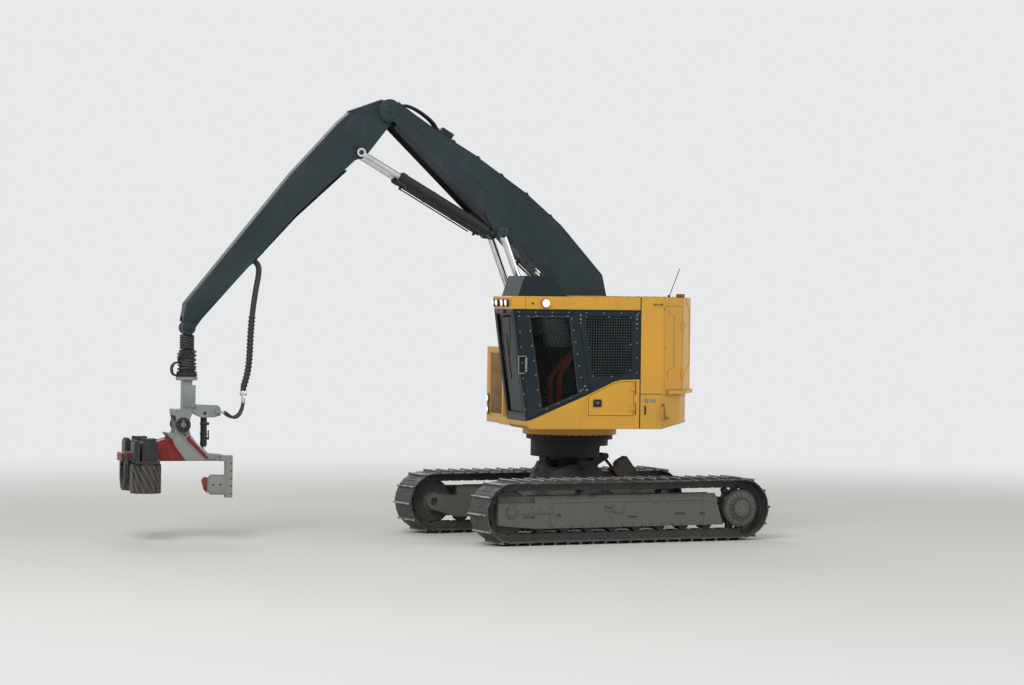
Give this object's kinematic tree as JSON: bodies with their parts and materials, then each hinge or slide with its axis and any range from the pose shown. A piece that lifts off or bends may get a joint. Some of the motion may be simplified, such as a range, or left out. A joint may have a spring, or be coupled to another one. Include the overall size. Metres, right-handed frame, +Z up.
{
  "type": "tracked forestry harvester",
  "caption": "Tracked forestry harvester: levelling base, swinging upper structure with cab and engine hood, folding boom, rotating harvesting head.",
  "frame": {"origin": "on the ground under the swing axis", "axes": "+X forward along the upper structure and boom, +Y to the cab side, +Z up"},
  "size_m": [10.0988, 4.167, 6.785],
  "materials": {
    "painted_yellow": "semi-gloss yellow enamel with dust",
    "painted_dark": "satin blue-black enamel",
    "boom_grey": "satin dark slate enamel, scuffed",
    "under_grey": "dusty dark paint over castings",
    "track_steel": "bare worn track steel with dried soil",
    "red_paint": "red enamel, scratched",
    "pale_paint": "pale grey enamel",
    "chrome": "polished cylinder rod",
    "black_paint": "satin black enamel",
    "hose_rubber": "matt black hose",
    "seat_fabric": "dark woven seat cover",
    "glass": "clear pane, lightly tinted",
    "lamp_lens": "clear lamp lens",
    "weight_iron": "cast counterweight in yellow enamel"
  },
  "bodies": {
    "undercarriage": {"carbody": "under_grey", "track_frame_left": "under_grey", "track_frame_right": "under_grey", "track_left": "track_steel", "track_right": "track_steel", "running_gear_left": "track_steel", "running_gear_right": "track_steel"},
    "tilt_cross": {"tilt_cross": "under_grey"},
    "tilt_table": {"tilt_table": "under_grey"},
    "pitch_barrel": {"pitch_barrel": "black_paint"},
    "pitch_rod": {"pitch_rod": "chrome"},
    "roll_barrel": {"roll_barrel": "black_paint"},
    "roll_rod": {"roll_rod": "chrome"},
    "house": {"deck": "painted_yellow", "cab_base": "painted_yellow", "cab_shell": "painted_dark", "cab_glass": "glass", "window_guard": "black_paint", "roof_guard": "painted_dark", "lamps": "lamp_lens", "cab_roof": "painted_yellow", "cab_seat": "seat_fabric", "engine_hood": "painted_yellow", "engine": "under_grey", "counterweight": "weight_iron", "tank_box": "painted_yellow", "roof_fittings": "black_paint"},
    "cab_door": {"cab_door": "painted_dark", "cab_door_glass": "glass"},
    "service_door": {"service_door": "painted_yellow"},
    "hood_door_left": {"hood_door_left": "painted_yellow"},
    "hood_door_right": {"hood_door_right": "painted_yellow"},
    "boom": {"boom": "boom_grey", "boom_lines": "boom_grey"},
    "hoist_barrels": {"hoist_barrels": "black_paint"},
    "hoist_rods": {"hoist_rods": "chrome"},
    "stick": {"stick": "boom_grey", "drop_hose": "hose_rubber"},
    "stick_barrels": {"stick_barrels": "black_paint"},
    "stick_rods": {"stick_rods": "chrome"},
    "head_link": {"head_link": "boom_grey"},
    "head_yoke": {"rotator": "black_paint", "head_yoke": "pale_paint", "head_hoses": "hose_rubber"},
    "tilt_barrel": {"tilt_barrel": "black_paint"},
    "tilt_rod": {"tilt_rod": "chrome"},
    "head": {"head_frame": "pale_paint", "head_housing": "red_paint"},
    "feed_arm_left": {"feed_arm_left": "painted_dark"},
    "feed_arm_right": {"feed_arm_right": "painted_dark"},
    "feed_roller_left": {"feed_roller_left": "black_paint"},
    "feed_roller_right": {"feed_roller_right": "black_paint"},
    "knife_left": {"knife_left": "painted_dark"},
    "knife_right": {"knife_right": "painted_dark"},
    "saw_bar": {"saw_bar": "boom_grey"}
  },
  "joints": [
    {"name": "level_pitch", "type": "hinge", "parent": "undercarriage", "child": "tilt_cross", "pos_m": [0, 0, 1.15], "axis": [-0.1736, 0.9848, 0], "range_deg": [-7, 20]},
    {"name": "level_roll", "type": "hinge", "parent": "tilt_cross", "child": "tilt_table", "pos_m": [0, 0, 1.15], "axis": [0.9848, 0.1736, 0], "range_deg": [-15, 15]},
    {"name": "swing", "type": "hinge", "parent": "tilt_table", "child": "house", "pos_m": [0, 0, 1.62], "axis": [0, 0, 1], "continuous": true},
    {"name": "pitch_barrel_pivot", "type": "hinge", "parent": "undercarriage", "child": "pitch_barrel", "pos_m": [-0.99664, 0.12382, 0.74], "axis": [0.1736, -0.9848, 0], "range_deg": [-1.8, 4.2]},
    {"name": "pitch_rod_slide", "type": "slide", "parent": "pitch_barrel", "child": "pitch_rod", "axis": [0.6724, 0.1186, 0.7306], "range_m": [-0.0589, 0.161]},
    {"name": "roll_barrel_pivot", "type": "hinge", "parent": "tilt_cross", "child": "roll_barrel", "pos_m": [-0.14191, -0.32965, 1.01], "axis": [0.9848, 0.1736, 0], "range_deg": [-17.2, 17.2]},
    {"name": "roll_rod_slide", "type": "slide", "parent": "roll_barrel", "child": "roll_rod", "axis": [0.0927, -0.5259, 0.8455], "range_m": [-0.0887, 0.0887]},
    {"name": "cab_door_hinge", "type": "hinge", "parent": "house", "child": "cab_door", "pos_m": [0.253, 1.515, 2.9135], "axis": [0.1764, 0, 0.9843], "range_deg": [0, 95]},
    {"name": "service_door_hinge", "type": "hinge", "parent": "house", "child": "service_door", "pos_m": [-0.565, 1.51, 2.2], "axis": [0, 0, 1], "range_deg": [0, 110]},
    {"name": "hood_door_left_hinge", "type": "hinge", "parent": "house", "child": "hood_door_left", "pos_m": [-1.45907, 1.23404, 3], "axis": [0, 0, 1], "range_deg": [0, 100]},
    {"name": "hood_door_right_hinge", "type": "hinge", "parent": "house", "child": "hood_door_right", "pos_m": [-1.45907, -1.23404, 3], "axis": [0, 0, -1], "range_deg": [0, 100]},
    {"name": "boom_lift", "type": "hinge", "parent": "house", "child": "boom", "pos_m": [-0.23, 0, 3.09], "axis": [0, -1, 0], "range_deg": [-50, 20]},
    {"name": "hoist_barrels_pivot", "type": "hinge", "parent": "house", "child": "hoist_barrels", "pos_m": [0.24, 0, 2.055], "axis": [0, -1, 0], "range_deg": [-40.3, 16.42]},
    {"name": "hoist_rods_slide", "type": "slide", "parent": "hoist_barrels", "child": "hoist_rods", "axis": [0.3504, 0, 0.9366], "range_m": [-0.8422, 0.3393]},
    {"name": "stick_fold", "type": "hinge", "parent": "boom", "child": "stick", "pos_m": [3.04, 0, 6.61], "axis": [0, 1, 0], "range_deg": [-55, 40]},
    {"name": "stick_barrels_pivot", "type": "hinge", "parent": "boom", "child": "stick_barrels", "pos_m": [1.37, 0, 4.74], "axis": [0, -1, 0], "range_deg": [-2.33, 3.02]},
    {"name": "stick_rods_slide", "type": "slide", "parent": "stick_barrels", "child": "stick_rods", "axis": [0.8666, 0, 0.499], "range_m": [-0.4883, 0.67]},
    {"name": "link_swing", "type": "hinge", "parent": "stick", "child": "head_link", "pos_m": [6.12, 0, 3.23], "axis": [0, -1, 0], "range_deg": [-25, 60]},
    {"name": "rotator_turn", "type": "hinge", "parent": "head_link", "child": "head_yoke", "pos_m": [6.12, 0, 2.6], "axis": [0, 0, 1], "continuous": true},
    {"name": "head_tilt", "type": "hinge", "parent": "head_yoke", "child": "head", "pos_m": [6.21, 0, 1.76], "axis": [0, -1, 0], "range_deg": [0, 80]},
    {"name": "tilt_barrel_pivot", "type": "hinge", "parent": "head_yoke", "child": "tilt_barrel", "pos_m": [5.85, 0, 1.93], "axis": [0, -1, 0], "range_deg": [-0.5, 51.36]},
    {"name": "tilt_rod_slide", "type": "slide", "parent": "tilt_barrel", "child": "tilt_rod", "axis": [0, 0, -1], "range_m": [-0.004, 0.3389]},
    {"name": "feed_arm_left_pivot", "type": "hinge", "parent": "head", "child": "feed_arm_left", "pos_m": [6.8, 0.15, 1.27], "axis": [1, 0, 0], "range_deg": [0, 35]},
    {"name": "feed_roller_left_spin", "type": "hinge", "parent": "feed_arm_left", "child": "feed_roller_left", "pos_m": [6.8, 0.38, 0.95], "axis": [0, 0, 1], "continuous": true},
    {"name": "knife_left_pivot", "type": "hinge", "parent": "head", "child": "knife_left", "pos_m": [7.067, 0.15, 1.27], "axis": [1, 0, 0], "range_deg": [0, 50]},
    {"name": "feed_arm_right_pivot", "type": "hinge", "parent": "head", "child": "feed_arm_right", "pos_m": [6.8, -0.15, 1.27], "axis": [-1, 0, 0], "range_deg": [0, 35]},
    {"name": "feed_roller_right_spin", "type": "hinge", "parent": "feed_arm_right", "child": "feed_roller_right", "pos_m": [6.8, -0.38, 0.95], "axis": [0, 0, 1], "continuous": true},
    {"name": "knife_right_pivot", "type": "hinge", "parent": "head", "child": "knife_right", "pos_m": [7.067, -0.15, 1.27], "axis": [-1, 0, 0], "range_deg": [0, 50]},
    {"name": "saw_swing", "type": "hinge", "parent": "head", "child": "saw_bar", "pos_m": [5.506, 0.262, 1.185], "axis": [-1, 0, 0], "range_deg": [0, 70]}
  ],
  "couplings": [
    {"joint": "pitch_barrel_pivot", "follows": "level_pitch", "ratio": 0.18508},
    {"joint": "pitch_rod_slide", "follows": "level_pitch", "m_per_rad": 0.44963},
    {"joint": "roll_barrel_pivot", "follows": "level_roll", "ratio": 1.1135},
    {"joint": "roll_rod_slide", "follows": "level_roll", "m_per_rad": -0.3234},
    {"joint": "hoist_barrels_pivot", "follows": "boom_lift", "ratio": 0.79605},
    {"joint": "hoist_rods_slide", "follows": "boom_lift", "m_per_rad": 0.96055},
    {"joint": "stick_barrels_pivot", "follows": "stick_fold", "ratio": -0.04584},
    {"joint": "stick_rods_slide", "follows": "stick_fold", "m_per_rad": -0.69377},
    {"joint": "tilt_barrel_pivot", "follows": "head_tilt", "ratio": 0.63581},
    {"joint": "tilt_rod_slide", "follows": "head_tilt", "m_per_rad": 0.23983}
  ]
}
